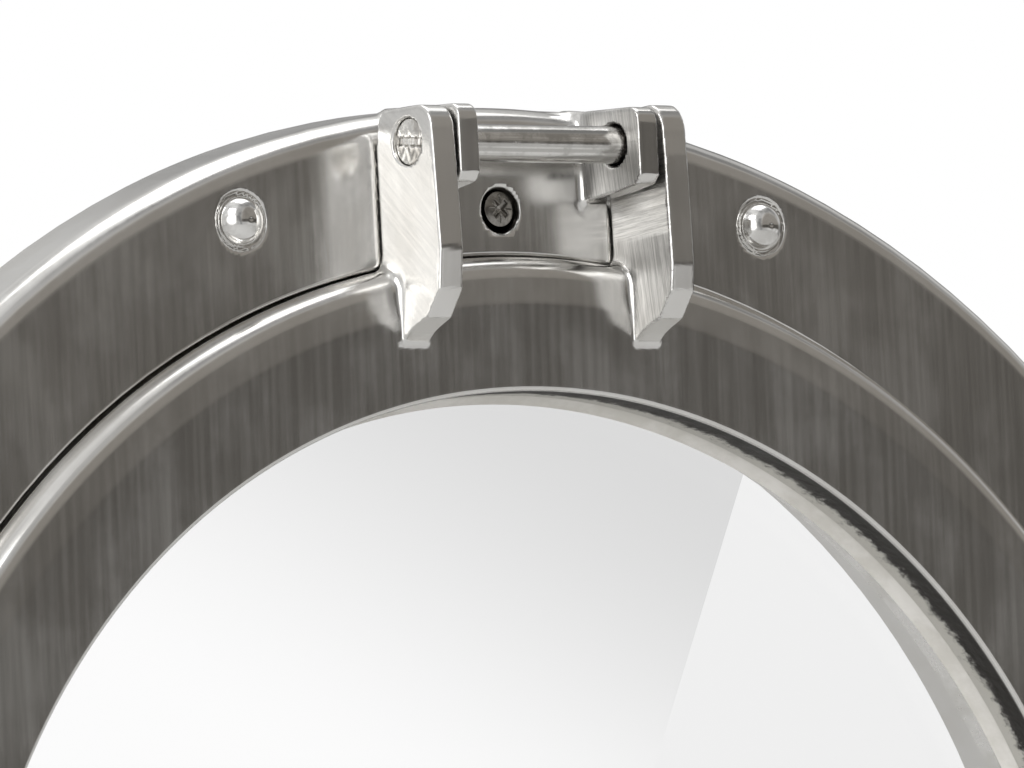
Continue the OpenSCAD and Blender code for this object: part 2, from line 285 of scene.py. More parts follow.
def lathe(profile, steps=64):
    """Rings of an (r, z) profile turned about z: vertices, quads and outward normals."""
    p = np.array(profile, float)
    a = np.linspace(0, 2 * math.pi, steps, endpoint=False)
    tangent = np.gradient(p, axis=0)
    out = np.stack([tangent[:, 1], -tangent[:, 0]], 1)
    out /= np.linalg.norm(out, axis=1, keepdims=True) + 1e-9
    ring = np.stack([np.cos(a), np.sin(a), np.zeros(steps)], 1)
    verts = ring[None] * p[:, None, :1] + np.array([0, 0, 1]) * p[:, None, 1:]
    normals = ring[None] * out[:, None, :1] + np.array([0, 0, 1]) * out[:, None, 1:]
    return tube(verts, normals, p[:, 0] < 1e-6)


def tube(verts, normals, pole):
    """Skin over rings of points; a ring marked as a pole is one point."""
    rings, steps = verts.shape[:2]
    keep = np.ones((rings, steps), bool)
    keep[pole, 1:] = False
    ids = np.cumsum(keep.ravel()).reshape(rings, steps) - 1
    ids[pole] = ids[pole, :1]
    on = np.roll(ids, -1, 1)
    quads = np.stack([ids[:-1], on[:-1], on[1:], ids[1:]], -1)
    return verts[keep], quads.reshape(-1, 4), normals[keep]


def threaded(r, depth, pitch, low, high, steps=24):
    """Right-hand screw thread along z, closed at both ends."""
    zs = np.arange(low, high, pitch / 6)
    a = np.linspace(0, 2 * math.pi, steps, endpoint=False)[None, :]
    wave = np.abs((zs[:, None] / pitch - a / (2 * math.pi)) % 1 * 2 - 1)
    run = np.minimum(np.minimum(zs - low, high - zs) / (1.5 * depth), 1)[:, None]
    radius = r - depth + depth * wave * run
    verts = np.stack([radius * np.cos(a), radius * np.sin(a), zs[:, None] + 0 * a], -1)
    ends = [np.broadcast_to([0, 0, z], (1, steps, 3)) for z in (low, zs[-1])]
    verts = np.concatenate([ends[0], verts, ends[1]])
    normals = np.cross(np.roll(verts, -1, 1) - np.roll(verts, 1, 1), np.gradient(verts, axis=0))
    normals[0], normals[-1] = (0, 0, -1), (0, 0, 1)
    pole = np.zeros(len(verts), bool)
    pole[[0, -1]] = True
    return tube(verts, normals, pole)


def eased(*corners, r=0.25, steps=4):
    """Outline through (r, z) corners with each inner corner rounded and edges split finely."""
    points = [np.array(c, float) for c in corners]
    out = [points[0]]
    for a, b, c in zip(points, points[1:], points[2:]):
        back = min(r, np.linalg.norm(a - b) / 2.2)
        on = min(r, np.linalg.norm(c - b) / 2.2)
        p, q = b + (a - b) / np.linalg.norm(a - b) * back, b + (c - b) / np.linalg.norm(c - b) * on
        out += [p + (b - p) * 2 * t * (1 - t) + (q - p) * t * t for t in np.linspace(0, 1, steps + 1)]
    return out + [points[-1]]


def gather(parts):
    """Several (vertices, quads, normals) as one."""
    verts, quads, normals, start = [], [], [], 0
    for v, q, n in parts:
        verts.append(v)
        normals.append(n)
        quads.append(q + start)
        start += len(v)
    return np.concatenate(verts), np.concatenate(quads), np.concatenate(normals)


def placed(part, matrix):
    """A part moved and turned by a matrix."""
    v, q, n = part
    m = np.array(matrix)
    return v @ m[:3, :3].T + m[:3, 3], q, n @ m[:3, :3].T


def box_net(field, low, high, step):
    """Surface of a field inside a box, on an even grid."""
    lines = [np.arange(a, b + step, step) for a, b in zip(low, high)]
    return surface_net(field, *lines, lambda u, v, w: (u, v, w))


def mesh_object(name, verts, faces, normals, body, slot, replaces=()):
    """Blender object from face-frame points, with given normals, riding on a body."""
    mesh = bpy.data.meshes.new(name)
    # A quad at a pole has one corner twice, so it becomes a triangle.
    mesh.from_pydata(put(*verts.T), [], [list(dict.fromkeys(f)) for f in faces.tolist()])
    mesh.shade_smooth()
    normals = put(*normals.T)
    normals /= np.linalg.norm(normals, axis=1, keepdims=True) + 1e-12
    mesh.normals_split_custom_set_from_vertices(normals)
    piece = bpy.data.objects.new(name, mesh)
    bpy.context.scene.collection.objects.link(piece)
    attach(piece, body)
    if replaces:
        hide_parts(*replaces)
    return piece


# Castings -------------------------------------------------------------------------------------
def arm_outline(lift, crease):
    """Side view of a hinge arm, y against height. Its end past the pin is longer by lift, and its top is
    highest at crease."""
    return Outline(
        [(142.2, DOOR_H - 0.8), (143.4, 23.6), (144.7, 25.4), (145.8, 28.0), (146.9, 31), (151.8, 35.1),
         (crease, 35.1 + (crease - 151.8) * 0.125), (178, 35.4)]
        + arc(182.2, 30.6, 4.9 + lift, 4.6, 90, 0)
        + [(187.2 + lift / 2, 23)] + arc(184.0, 21.2, 3.1, 2.8, 0, -70, 8)
        + [(181, 17.5), (160.4, 17.5), (157, 17), (150, 17)])


def door_field():
    """Door's casting: the turned ring, its hinge arms, and the forks that take the dogs."""
    section = Outline(
        [(RABBET_R, BARREL_BACK), (BARREL_R, BARREL_BACK), (BARREL_R, LIP_H), (GROOVE_R[0], LIP_H),
         (GROOVE_R[0], GROOVE_H), (GROOVE_R[1], GROOVE_H), (GROOVE_R[1], LIP_H), (DOOR_R, LIP_H)]
        + arc(DOOR_R - DOOR_ROUND[0], DOOR_H - DOOR_ROUND[1], *DOOR_ROUND, 0, 90)
        + [(150.5, DOOR_H + 0.1)]
        + arc(SIGHT_R + SIGHT_ROUND, DOOR_H - 0.5 - SIGHT_ROUND, SIGHT_ROUND, SIGHT_ROUND, 90, 180, 12)
        + [(SIGHT_R, GLASS_H + 0.8), (RABBET_R, GLASS_H + 0.8)], soft=3)
    arms = [arm_outline(0, 159.8), arm_outline(0.8, 157.0)]
    fork = Outline([(144.5, DOOR_H - 3), (146.5, DOOR_H - 1), (147.8, 26), (150.3, 32.5), (154.5, 36.6),
                    (157, FORK_H + FORK_T), (DOG_R + FORK_REACH, FORK_H + FORK_T),
                    (DOG_R + FORK_REACH, FORK_H), (163.5, FORK_H), (160.4, 27), (158, 18), (150, 17)])

    def field(x, y, h):
        r = np.hypot(x, y)
        d = section(r, h)
        draft = (ARM_TOP - h) * ARM_DRAFT / 2
        for shape, middle in zip(arms, ARM_X):
            arm = slab(shape(y, h), x - middle + draft, ARM_T / 2 + draft, 0.6)
            d = join(d, arm, 0.7 + 1.9 * step(y, 144.5, 153))
        for angle in DOG_ANGLES.values():
            tx, ty = turned(angle, x, y)
            body = slab(fork(ty, h), tx, FORK_HALF_W - 0.35 * np.clip(ty - 172, 0, 10), 1.0)
            d = join(d, body, 1.5 + 3 * step(ty, 148, 156))
            slot_u = np.where(ty < DOG_R - 0.4, np.hypot(tx, ty - DOG_R + 0.4), np.abs(tx))
            slot = np.maximum(slot_u - STEM_R - 0.5, FORK_H - 4 - h)
            d = cut(d, np.maximum(slot, np.abs(ty - DOG_R) - 16), 0.8)
        pin = rod(y - PIN_Y, h - PIN_H, PIN_R + 0.02)
        d = cut(d, np.maximum(pin, np.abs(x) - 40))
        for side, middle in zip((-1, 1), ARM_X):
            outer = middle + side * (ARM_T / 2 - PIN_SCREW_SINK)
            seat = np.maximum(rod(y - PIN_Y, h - PIN_H, PIN_SCREW_R), side * (outer - x))
            d = cut(d, seat, 0.5)
        clear = np.maximum(DOOR_R + 0.02 - r, h - FLANGE_H - 0.45)
        return cut(d, clear, 0.3)
    return field


def frame_field():
    """Frame's casting: flange, recess, rib, spigot and hollow back, with lugs, ears and screw holes."""
    section = Outline(
        [(BORE_R, -SPIGOT_LEN), (SPIGOT_R, -SPIGOT_LEN), (SPIGOT_R, 0), (SEAL_R[0], 0),
         (SEAL_R[0], SEAL_DEPTH), (SEAL_R[1], SEAL_DEPTH), (SEAL_R[1], 0), (HOLLOW_R[0], 0),
         (HOLLOW_R[0], HOLLOW_H), (HOLLOW_R[1], HOLLOW_H), (HOLLOW_R[1], 0), (FLANGE_R, 0)]
        + arc(FLANGE_R - RIM_SLOPE - RIM_ROUND[0], FLANGE_H - RIM_ROUND[1], *RIM_ROUND, 0, 90)
        + [(RECESS_R + 0.5, FLANGE_H), (RECESS_R, FLANGE_H - 0.5), (RECESS_R, RECESS_H),
           (154.3, RECESS_H), (153.3, RIB_H), (151.7, RIB_H), (150.7, RECESS_H), (BORE_R, RECESS_H)],
        soft=3)
    lug = Outline([(169.0, FLANGE_H - 3), (188, FLANGE_H - 5), (188.1, FLANGE_H), (187.2, 33)]
                  + arc(184.2, 32.8, 3, 3, 0, 90, 12) + [(173.9, 35.7), (172.3, 34.2), (171.4, 27),
                                                        (170.8, FLANGE_H)], soft=3)

    def field(x, y, h):
        r = np.hypot(x, y)
        d = section(r, h)
        theta = np.degrees(np.arctan2(x, y))
        near = (theta % DOME_STEP) - DOME_STEP / 2
        dome = np.hypot(r - DOME_CIRCLE_R * np.cos(np.radians(near)),
                        DOME_CIRCLE_R * np.sin(np.radians(near)))
        screw = np.hypot(x - HINGE_SCREW[0], y - HINGE_SCREW[1])
        d = join(d, np.maximum(dome - 7, np.maximum(-h, h - BOSS_H)), 1.5)
        d = join(d, np.maximum(screw - 5.5, np.maximum(-h, h - BOSS_H)), 1.5)
        for side in (-1, 1):
            d = join(d, slab(lug(y, h), x - side * (LUG_IN + LUG_T / 2), LUG_T / 2, 0.5), 3.2)
        for angle in DOG_ANGLES.values():
            tx, ty = turned(angle, x, y)
            ear = np.minimum(rod(ty - DOG_R, h - DOG_H, EAR_R),
                             np.maximum(np.abs(ty - DOG_R) - EAR_R,
                                        np.maximum(h - DOG_H, BOSS_H - h)))
            d = join(d, slab(ear, np.abs(tx) - EAR_X, EAR_T / 2, 0.5), 2.6)
            out = ty - DOG_R - WEB_OUT[0]
            web = np.maximum(np.maximum(-out, ty - DOG_R - WEB_OUT[1]),
                             np.maximum(h - 22.0 - 0.55 * out, BOSS_H - h))
            d = join(d, np.maximum(web, np.abs(tx) - EAR_X), 0.8)
            d = cut(d, np.maximum(rod(ty - DOG_R, h - DOG_H, PIVOT_R + 0.02), np.abs(tx) - 12), 0.4)
        d = cut(d, dome - SHANK_R - 0.5)
        d = cut(d, np.maximum(dome - DOME_R - 0.5, FLANGE_H - 0.5 - h), 0.8)
        d = cut(d, screw - SHANK_R - 0.1)
        sink = np.hypot(x - HINGE_SINK[0], y - HINGE_SINK[1])
        d = cut(d, np.maximum(sink - HINGE_SINK_R + 0.6 * (FLANGE_H - h), FLANGE_H - 2.4 - h), 0.3)
        pin = rod(y - PIN_Y, h - PIN_H, PIN_R + 0.08)
        mouth = np.abs(np.abs(x) - LUG_IN)
        pin = pin - 0.67 * np.clip(1 - mouth / 0.8, 0, 1)
        return cut(d, np.maximum(pin, np.abs(x) - 30), 0.25)
    return field


def make_castings():
    """Door and frame, on grids with close lines at their edges, arms, lugs, screws and dogs."""
    radii = runs((131, 133.4, 1.2), (133.4, 136, 0.4), (136, 141.5, 1.0), (141.5, 146.5, 0.5),
                 (146.5, 148, 0.75), (148, 160.5, 0.6), (160.5, 176, 0.9), (176, 193, 0.6))
    heights = runs((0.3, 2.7, 0.4), (2.7, 8.7, 1.2), (8.7, 13.7, 0.4), (13.7, 16.5, 0.8),
                   (16.5, 24, 0.45), (24, 39, 0.7))
    arm_deg = [math.degrees(math.asin(x / 165)) for x in ARM_X]
    angles = clock_lines(1.6, *[(a, 2.6, 0.16) for a in arm_deg],
                         *[(a, 6.2, 0.2) for a in DOG_ANGLES.values()])
    net = surface_net(door_field(), angles, radii, heights, around, True)
    door = mesh_object("door_casting", *net, "door", "door_casting", ["door_ring"])
    (x, y, h), r = net[0].T, np.hypot(*net[0].T[:2])
    wall = step(-r, -134.6, -134.1) * step(-h, -21.9, -21.5)
    mark_faces(door, net, np.maximum(wall, step(-h, -10.6, -10.2)), step(y, 162.2, 163.6), 0 * r)
    radii = runs((143, 153, 1.6), (153, 159.3, 1.05), (159.3, 162, 0.3), (162, 170.5, 1.2),
                 (170.5, 184, 0.67), (184, 193, 0.68))
    heights = runs((-24, -21, 0.7), (-21, -1, 5.0), (-1, 2.5, 0.7), (2.5, 15, 2.0), (15, 18, 0.35),
                   (18, 38, 0.8))
    lug_deg = math.degrees(math.asin((LUG_IN + LUG_T / 2) / 178))
    angles = clock_lines(2.6, *[(s * lug_deg, 1.5, 0.17) for s in (-1, 1)],
                         *[(DOME_STEP * (i + 0.5), 2.1, 0.2) for i in range(DOME_COUNT)],
                         (math.degrees(math.asin(HINGE_SCREW[0] / HINGE_SCREW[1])), 2.5, 0.18),
                         *[(a, 3.6, 0.26) for a in DOG_ANGLES.values()])
    net = surface_net(frame_field(), angles, radii, heights, around, True)
    ring = mesh_object("frame_casting", *net, "frame", "frame_casting", ["frame_ring"])
    (x, y, h), r = net[0].T, np.hypot(*net[0].T[:2])
    recess = step(-r, -160.9, -160.6) * step(-h, -16.2, -14.5) * step(r, 147.5, 150)
    sink = np.hypot(x - HINGE_SINK[0], y - HINGE_SINK[1])
    mouth = np.hypot(y - PIN_Y, h - PIN_H)
    # Painted shade: the hinge screw's countersink and a ring round the pin's mouth are marked to be painted
    # near black.
    gap_shade = np.maximum(step(-sink, -HINGE_SINK_R, 0.3 - HINGE_SINK_R),
                       step(-mouth, -PIN_R - 0.9, -PIN_R - 0.6))
    mark_faces(ring, net, np.maximum(recess, step(-h, -0.6, -0.2) * step(r, 147.5, 150)), 0 * r, gap_shade)
    return door, ring


FACE_MARKS = ("inner", "outer", "rough", "level", "gap_shade")


def mark(piece, name, values):
    """Float attribute on a piece's points, for its material."""
    piece.data.attributes.new(name, "FLOAT", "POINT").data.foreach_set(
        "value", np.clip(values, 0, 1).astype(np.float32))


def step(x, low, high):
    """Smooth rise from 0 to 1 between low and high."""
    t = np.clip((x - low) / (high - low), 0, 1)
    return t * t * (3 - 2 * t)


def mark_faces(piece, net, rough, level, gap_shade):
    """Marks a casting's inner and outer hinge cheeks, the skin that is left as cast, where strokes run
    level and where shade is painted dark into hollows and gaps."""
    (x, y, h), n = net[0].T, net[2] / np.linalg.norm(net[2], axis=1, keepdims=True)
    cheek = step(y, 140, 147) * step(-np.abs(x), -36, -34) * (h > 17.6)
    side = n[:, 0] * np.sign(x)
    inner, outer = (cheek * step(way * side, 0.75, 0.95) for way in (-1, 1))
    for name, values in zip(FACE_MARKS, (inner, outer, rough, level, gap_shade)):
        mark(piece, name, values)


# Small pieces ---------------------------------------------------------------------------------
ALONG_X = Matrix.Rotation(math.pi / 2, 4, "Y")


def at(x, y, h):
    return Matrix.Translation((x, y, h))


def make_domes():
    """Dome-head screws round the flange, each turned further than the last."""
    dome = arc(0, BALL_H, BALL_R, BALL_R, 14.5, 84, 20)
    under = FLANGE_H - 0.8
    head = lathe([(0, -0.3), (2.4, -0.3), (2.9, 0.1), (2.9, under)]
                 + [(r, under) for r in (3.5, 4.2, 4.7)] + [(4.87, under + 0.05), (DOME_R, under + 0.2)]
                 + dome + [(0.34, 20.3), (0.2, 20.27), (0, 20.26)], 56)
    thread = threaded(SHANK_R, 0.45, 0.9, -25, 0.2)
    screws = []
    for i in range(DOME_COUNT):
        turn = Matrix.Rotation(math.radians(-DOME_STEP * (i + 0.5)), 4, "Z")
        spin = Matrix.Rotation(2.1 * i, 4, "Z")
        where = turn @ at(0, DOME_CIRCLE_R, 0) @ spin
        screws += [placed(head, where), placed(thread, where)]
    return mesh_object("dome_fixings", *gather(screws), "frame", "bright_fixings", ["dome_screws"])


def make_cross_screw():
    """Countersunk screw between the lugs, with a cross recess and a tick between each two arms."""
    top = FLANGE_H - 0.5

    def cross_head(x, y, h):
        r = np.hypot(x, y)
        d = np.maximum(np.hypot(r, h - top + 12.0) - 12.0, r - 3.4)
        d = np.maximum(d, (r - 2.3) - (h - top + 2.2) * 0.75)
        d = np.maximum(d, top - 2.9 - h)
        u, v = (x + y) / math.sqrt(2), (x - y) / math.sqrt(2)
        deep = top - 1.25 + 0.28 * r
        for a, b in ((u, v), (v, u)):
            arm = np.maximum(np.abs(a) - 0.42 - 0.08 * (h - top + 1), np.abs(b) - 2.0)
            d = cut(d, np.maximum(arm, deep - h), 0.15)
        for a, b in ((x, y), (y, x)):
            tick = np.maximum(np.abs(a) - 0.13, np.abs(np.abs(b) - 1.9) - 0.65)
            d = cut(d, np.maximum(tick, top - 0.42 - h), 0.1)
        return d

    net = box_net(cross_head, (-3.8, -3.8, top - 3.2), (3.8, 3.8, top + 0.4), 0.13)
    shank = lathe(eased((0, -0.5), (2.3, -0.4), (2.3, top - 2), (2.1, top - 1.5), (0, top - 1.4)), 32)
    parts = [net, shank, threaded(1.9, 0.35, 1.3, -25.4, -0.3)]
    return mesh_object("cross_screw", *placed(gather(parts), at(*HINGE_SCREW, 0)), "frame",
                       "dark_screw", ["hinge_screw"])


def make_pin():
    """Hinge pin, which ends under the heads of its two screws."""
    left, right = PIN_ENDS[0] + 2.4, PIN_ENDS[1] - 2.4
    bar = lathe(eased((0, left), (PIN_R - 0.3, left), (PIN_R, left + 0.4), (PIN_R, right - 0.4),
                      (PIN_R - 0.3, right), (0, right), r=0.2), 72)
    return mesh_object("hinge_bar", *placed(bar, at(0, PIN_Y, PIN_H) @ ALONG_X), "door", "pin_steel",
                       ["hinge_pin"])


def make_pin_screws():
    """Slotted screws in the pin's ends, with worn heads and torn slots."""
    def slotted(x, y, h):
        r = np.hypot(y, h)
        worn = 0.035 * np.sin(2.1 * y + 1.3 * np.sin(1.9 * h)) * np.sin(1.7 * h + 0.8)
        d = slab(r - 4.36, x - 1.05, 0.97, 0.3) + worn * step(r, 0.3, 1.5) * (x < 0.6)
        torn = 0.14 * np.sin(2.9 * h + 1.0) + 0.1 * np.sin(6.3 * h)
        return cut(d, np.maximum(np.abs(y - torn) - 0.75, x - 1.0 - torn), 0.3)

    head = gather([box_net(slotted, (-0.4, -4.8, -4.8), (2.4, 4.8, 4.8), 0.16),
                   placed(lathe(eased((0, 1.8), (2.0, 1.9), (2.0, 8.7), (1.7, 9), (0, 9)), 24), ALONG_X)])
    tilt = Matrix.Rotation(math.radians(8), 4, "X")
    heads = [placed(head, at(PIN_ENDS[0] + 0.1, PIN_Y, PIN_H) @ tilt),
             placed(head, at(PIN_ENDS[1] - 0.1, PIN_Y, PIN_H) @ Matrix.Rotation(math.pi, 4, "Z") @ tilt)]
    return mesh_object("pin_end_screws", *gather(heads), "door", "small_screws", ["hinge_pin_screws"])


# Dogs, in the swing bolt's frame: s runs along the bolt from its pivot, and x along the pivot ----
def bolt_field(x, y, s):
    """Swing bolt: an eye on the pivot, and a stem with a thread and a hole for the end cap."""
    r = np.hypot(x, y)
    crest = np.abs((s / THREAD_PITCH - np.arctan2(y, x) / (2 * math.pi)) % 1 * 2 - 1)
    cutting = step(s, 11.5, 13) * step(-s, -STEM_LEN - 0.2, 1.2 - STEM_LEN)
    stem = (r - (STEM_R - 0.04) + 0.8 * (1 - crest) * cutting) * 0.8
    stem = np.maximum(stem, r - STEM_R + 0.9 - (STEM_LEN - s))
    stem = np.maximum(np.maximum(stem, -s), s - STEM_LEN)
    eye = slab(rod(y, s, EYE_R), x, STEM_R, 0.8)
    d = join(eye, stem, 2.0)
    d = cut(d, rod(y, s, PIVOT_R + 0.06), 0.4)
    return cut(d, np.maximum(r - 2.05, STEM_LEN - 6 - s), 0.2)


def nut_field(x, y, s):
    """Ear nut, with a round ear on each side of its barrel."""
    ear_x, ear_s, ear_r, ear_half = 10.5, 7.5, 5.5, 2.0
    r = np.hypot(x, y)
    barrel = np.maximum(r - 7.6 + 0.05 * s, np.abs(s - NUT_LEN / 2) - NUT_LEN / 2)
    base = slab(r - 7.9, s - 1.0, 1.0, 0.5)
    ear = slab(np.hypot(np.abs(x) - ear_x, s - ear_s) - ear_r, y, ear_half, 1.1)
    bridge = slab(np.maximum(np.abs(x) - ear_x, np.abs(s - ear_s) - 3.5), y, ear_half, 0.8)
    d = join(join(barrel, base, 0.8), join(ear, bridge, 2.0), 2.4)
    d = np.maximum(np.maximum(d, -s), s - NUT_LEN + 0.01)
    return cut(d, r - STEM_R - 0.06, 0.8)


def washer_shape():
    hole, rim, middle = STEM_R + 0.2, 8.5, WASHER_T / 2
    return lathe(eased((hole, middle), (hole, 0), (rim, 0), (rim, WASHER_T), (hole, WASHER_T),
                       (hole, middle), r=0.3), 64)


def cap_shape():
    """Domed end cap, with a peg in the bolt's end."""
    ball = arc(0, -5, 8, 8, 43.5, 68, 12)
    return lathe([(0, -5), (1.9, -4.9), (2.0, -4.6), (2.0, 0), (2.6, 0.02), (5.4, 0.02), (5.75, 0.15),
                  (5.8, 0.5)] + ball + [(2.8, 2.78), (2.4, 2.86), (0, 2.9)], 48)


def pivot_shape():
    """Pin with a head at one end, through the ears and the bolt's eye."""
    return lathe(eased((0, -10.9), (3.2, -10.9), (4.4, -10.5), (4.4, -9.35), (PIVOT_R, -9.35),
                       (PIVOT_R, 9.8), (2.6, 10.2), (0, 10.2), r=0.5), 40)


def make_dogs():
    """Both dogs, swung out to where they are at rest."""
    bolt = box_net(bolt_field, (-6.9, -6.9, -6.9), (6.9, 6.9, STEM_LEN + 0.6), 0.3)
    nut = box_net(nut_field, (-16.5, -8.4, -0.6), (16.5, 8.4, NUT_LEN + 0.6), 0.36)
    parts = (("bolt", "dog_", bolt), ("washer", "washer_", placed(washer_shape(), at(0, 0, WASHER_S))),
             ("nut", "nut_", placed(nut, at(0, 0, NUT_S))),
             ("end_cap", "dog_", placed(cap_shape(), at(0, 0, STEM_LEN + 0.02))),
             ("pivot", "frame", placed(pivot_shape(), ALONG_X)))
    made = []
    for side, angle in DOG_ANGLES.items():
        where = (Matrix.Rotation(math.radians(-angle), 4, "Z") @ at(0, DOG_R, DOG_H)
                 @ Matrix.Rotation(math.radians(-DOG_OUT), 4, "X"))
        for part, body, shape in parts:
            body = body if body == "frame" else body + side
            made.append(mesh_object(f"{part}_{side}", *placed(shape, where), body, "dog_fittings",
                                    [f"dog_{part}_{side}"]))
    return made


def make_glass():
    """Pane with ground edges, and the sealant round it with its hollow bead against the ring's wall."""
    back, ledge, ground, steps = GLASS_H - GLASS_T, GLASS_H + 0.77, 0.4, 240
    inner, outer, skin = PANE_R + 0.05, RABBET_R - 0.05, GLASS_H + 0.02
    bead = arc(SIGHT_R - 2.6, GLASS_H + 3.6, 2.58, 3.58, 0, -64, 12)
    seal = eased(*bead, (SIGHT_R - 1.3, skin), (inner, skin), (inner, back), (outer, back), (outer, ledge),
                 (SIGHT_R - 0.02, ledge), bead[0], r=0.1)
    seal = mesh_object("bedding", *lathe(seal, steps), "door", "sealant", ["glass_bedding"])
    pane = eased((0, back), (PANE_R - ground, back), (PANE_R, back + ground), (PANE_R, GLASS_H - ground),
                 (PANE_R - ground, GLASS_H), (0, GLASS_H), r=0.3)
    return mesh_object("pane", *lathe(pane, steps), "door", "glass", ["glass_pane"]), seal


# Materials ------------------------------------------------------------------------------------
class Shader:
    """A material or world with short calls for its nodes."""

    def __init__(self, owner):
        owner.use_nodes = True
        self.owner, self.tree = owner, owner.node_tree

    def add(self, kind, out=0, props=(), **inputs):
        node = self.tree.nodes.new("ShaderNode" + kind)
        for name, value in dict(props).items():
            setattr(node, name, value)
        for name, value in inputs.items():
            key = name.replace("_", " ")
            socket = node.inputs[int(key[1:])] if key[1:].isdigit() else node.inputs[key]
            self.feed(socket, value)
        return node.outputs[out]

    def feed(self, socket, value):
        if isinstance(value, bpy.types.NodeSocket):
            self.tree.links.new(value, socket)
        else:
            socket.default_value = value

    def math(self, operation, a, b=0.0, c=0.0):
        return self.add("Math", props={"operation": operation}, i0=a, i1=b, i2=c)

    def times(self, a, b):
        return self.math("MULTIPLY", a, b)

    def plus(self, *terms):
        total = terms[0]
        for term in terms[1:]:
            total = self.math("ADD", total, term)
        return total

    def ease(self, value, low, high, to=(0.0, 1.0)):
        return self.add("MapRange", props={"interpolation_type": "SMOOTHSTEP"}, Value=value,
                        From_Min=low, From_Max=high, To_Min=to[0], To_Max=to[1])

    def blend(self, a, b, factor):
        return self.add("Mix", 2, {"data_type": "RGBA"}, i0=factor, i6=a, i7=b)

    def place(self):
        return self.add("TexCoord", 3)

    def grain(self, where, size, turn=(0, 0, 0), detail=3.0, rough=0.55):
        """Noise over object space, with size giving cells to the metre along each axis."""
        where = self.add("Mapping", Vector=where, Rotation=turn)
        where = self.add("Mapping", Vector=where, Scale=size)
        return self.add("TexNoise", 0, Vector=where, Scale=1.0, Detail=detail, Roughness=rough)

    def attribute(self, name):
        return self.add("Attribute", 2, {"attribute_name": name})

    def relief(self, height):
        return self.add("Bump", Height=height, Strength=1.0, Distance=1.0)

    def surface(self, **inputs):
        shader = self.tree.nodes["Principled BSDF"]
        for name, value in inputs.items():
            self.feed(shader.inputs[name.replace("_", " ")], value)
        return self.owner


ALUMINIUM = (0.80, 0.792, 0.775, 1)
DULL_ALUMINIUM = (0.74, 0.728, 0.705, 1)
CAST_SKIN = (0.66, 0.645, 0.60, 1)
# Near black of the as-cast skin towards the front.
SKIN_BLACK = (0.028, 0.025, 0.022, 1)
# Near black painted into the countersink and the pin's mouth as shade.
GAP_SHADE = (0.03, 0.027, 0.024, 1)
BLACK, WHITE = (0.0, 0.0, 0.0, 1), (1, 1, 1, 1)


def casting(name):
    """Polished cast aluminium: buffed faces, stroked cheeks and rough skin where it was left as cast."""
    s = Shader(bpy.data.materials.new(name))
    xyz = s.place()
    inner, outer, rough, level, gap_shade = [s.attribute(name) for name in FACE_MARKS]
    back = s.add("SeparateXYZ", 1, Vector=xyz)
    buff = s.grain(xyz, (700, 120, 22))
    haze = s.grain(xyz, (60, 60, 40), detail=5.0)
    swell = s.grain(xyz, (38, 38, 38), detail=1.0)
    across = s.grain(xyz, (60, 70, 2300), (0.06, 0, 0), 4.0, 0.7)
    upright = s.grain(xyz, (60, 2300, 70), (0.12, 0, 0), 4.0, 0.7)
    strokes = s.add("Mix", 0, i0=level, i2=upright, i3=across)
    slant = s.grain(xyz, (60, 45, 900), (-0.75, 0, 0), 4.0, 0.7)
    sand = s.grain(xyz, (650, 650, 650), detail=6.0, rough=0.7)
    lumps = s.grain(xyz, (120, 120, 120), detail=2.0)
    specks = s.ease(s.grain(xyz, (420, 420, 90), detail=2.0), 0.70, 0.76)
    smooth = s.math("SUBTRACT", 1.0, rough)
    height = s.plus(s.times(s.times(buff, smooth), 1.3e-6), s.times(swell, 1.3e-4),
                    s.times(s.times(strokes, inner), 9e-5), s.times(s.times(slant, outer), 2.2e-5),
                    s.times(s.times(sand, rough), 3e-4), s.times(s.times(lumps, rough), 6e-4),
                    s.times(specks, -4e-6))
    shine = s.plus(s.ease(buff, 0.3, 0.7, (0.15, 0.20)), s.ease(haze, 0.45, 0.65, (0.0, 0.04)),
                   s.times(inner, 0.12), s.times(outer, 0.06), s.times(rough, 0.30))
    # The as-cast skin is black towards the front, speckled in between, and pale cast skin further back.
    speckle = s.grain(xyz, (330, 330, 520), detail=7.0, rough=0.8)
    pale_share = s.ease(s.math("SUBTRACT", speckle, s.ease(back, -0.0135, -0.0195, (-0.16, 0.30))), 0.36, 0.60)
    skin = s.blend(SKIN_BLACK, CAST_SKIN, pale_share)
    clean = s.blend(DULL_ALUMINIUM, ALUMINIUM, s.ease(haze, 0.35, 0.6))
    cheek = s.times(s.ease(strokes, 0.38, 0.62, (0.66, 1.0)), s.ease(level, 0, 1, (0.84, 1.0)))
    scratch = s.ease(slant, 0.40, 0.62, (0.93, 1.0))
    lined = s.plus(s.times(cheek, inner), s.times(scratch, outer),
                   s.math("SUBTRACT", s.math("SUBTRACT", 1.0, inner), outer))
    clean = s.blend(BLACK, clean, lined)
    # Painted shade: the marked hollows are blended to near black.
    tone = s.blend(s.blend(clean, skin, rough), GAP_SHADE, gap_shade)
    return s.surface(Base_Color=tone, Metallic=s.ease(rough, 0, 1, (1.0, 0.55)), Roughness=shine,
                     Normal=s.relief(height))


def metal(name, colour, rough, size, lift, dull=(0.5, 0.5, 0.48, 1), lines=1.0):
    """Turned or drawn metal: dull where it is worn, with tool marks whose hollows keep the share of
    the colour that lines gives. The marks stand lift metres high."""
    s = Shader(bpy.data.materials.new(name))
    xyz = s.place()
    marks = s.grain(xyz, size, detail=4.0)
    worn = s.grain(xyz, (160, 160, 160), detail=5.0, rough=0.65)
    tone = s.blend(dull, colour, s.times(s.ease(worn, 0.38, 0.56), s.ease(marks, 0.42, 0.56, (lines, 1.0))))
    shine = s.plus(s.ease(marks, 0.3, 0.7, (rough, rough + 0.08)),
                   s.ease(worn, 0.5, 0.7, (0.0, 0.12)))
    height = s.plus(s.times(marks, lift), s.times(worn, lift * 2))
    return s.surface(Base_Color=tone, Metallic=1.0, Roughness=shine, Normal=s.relief(height))


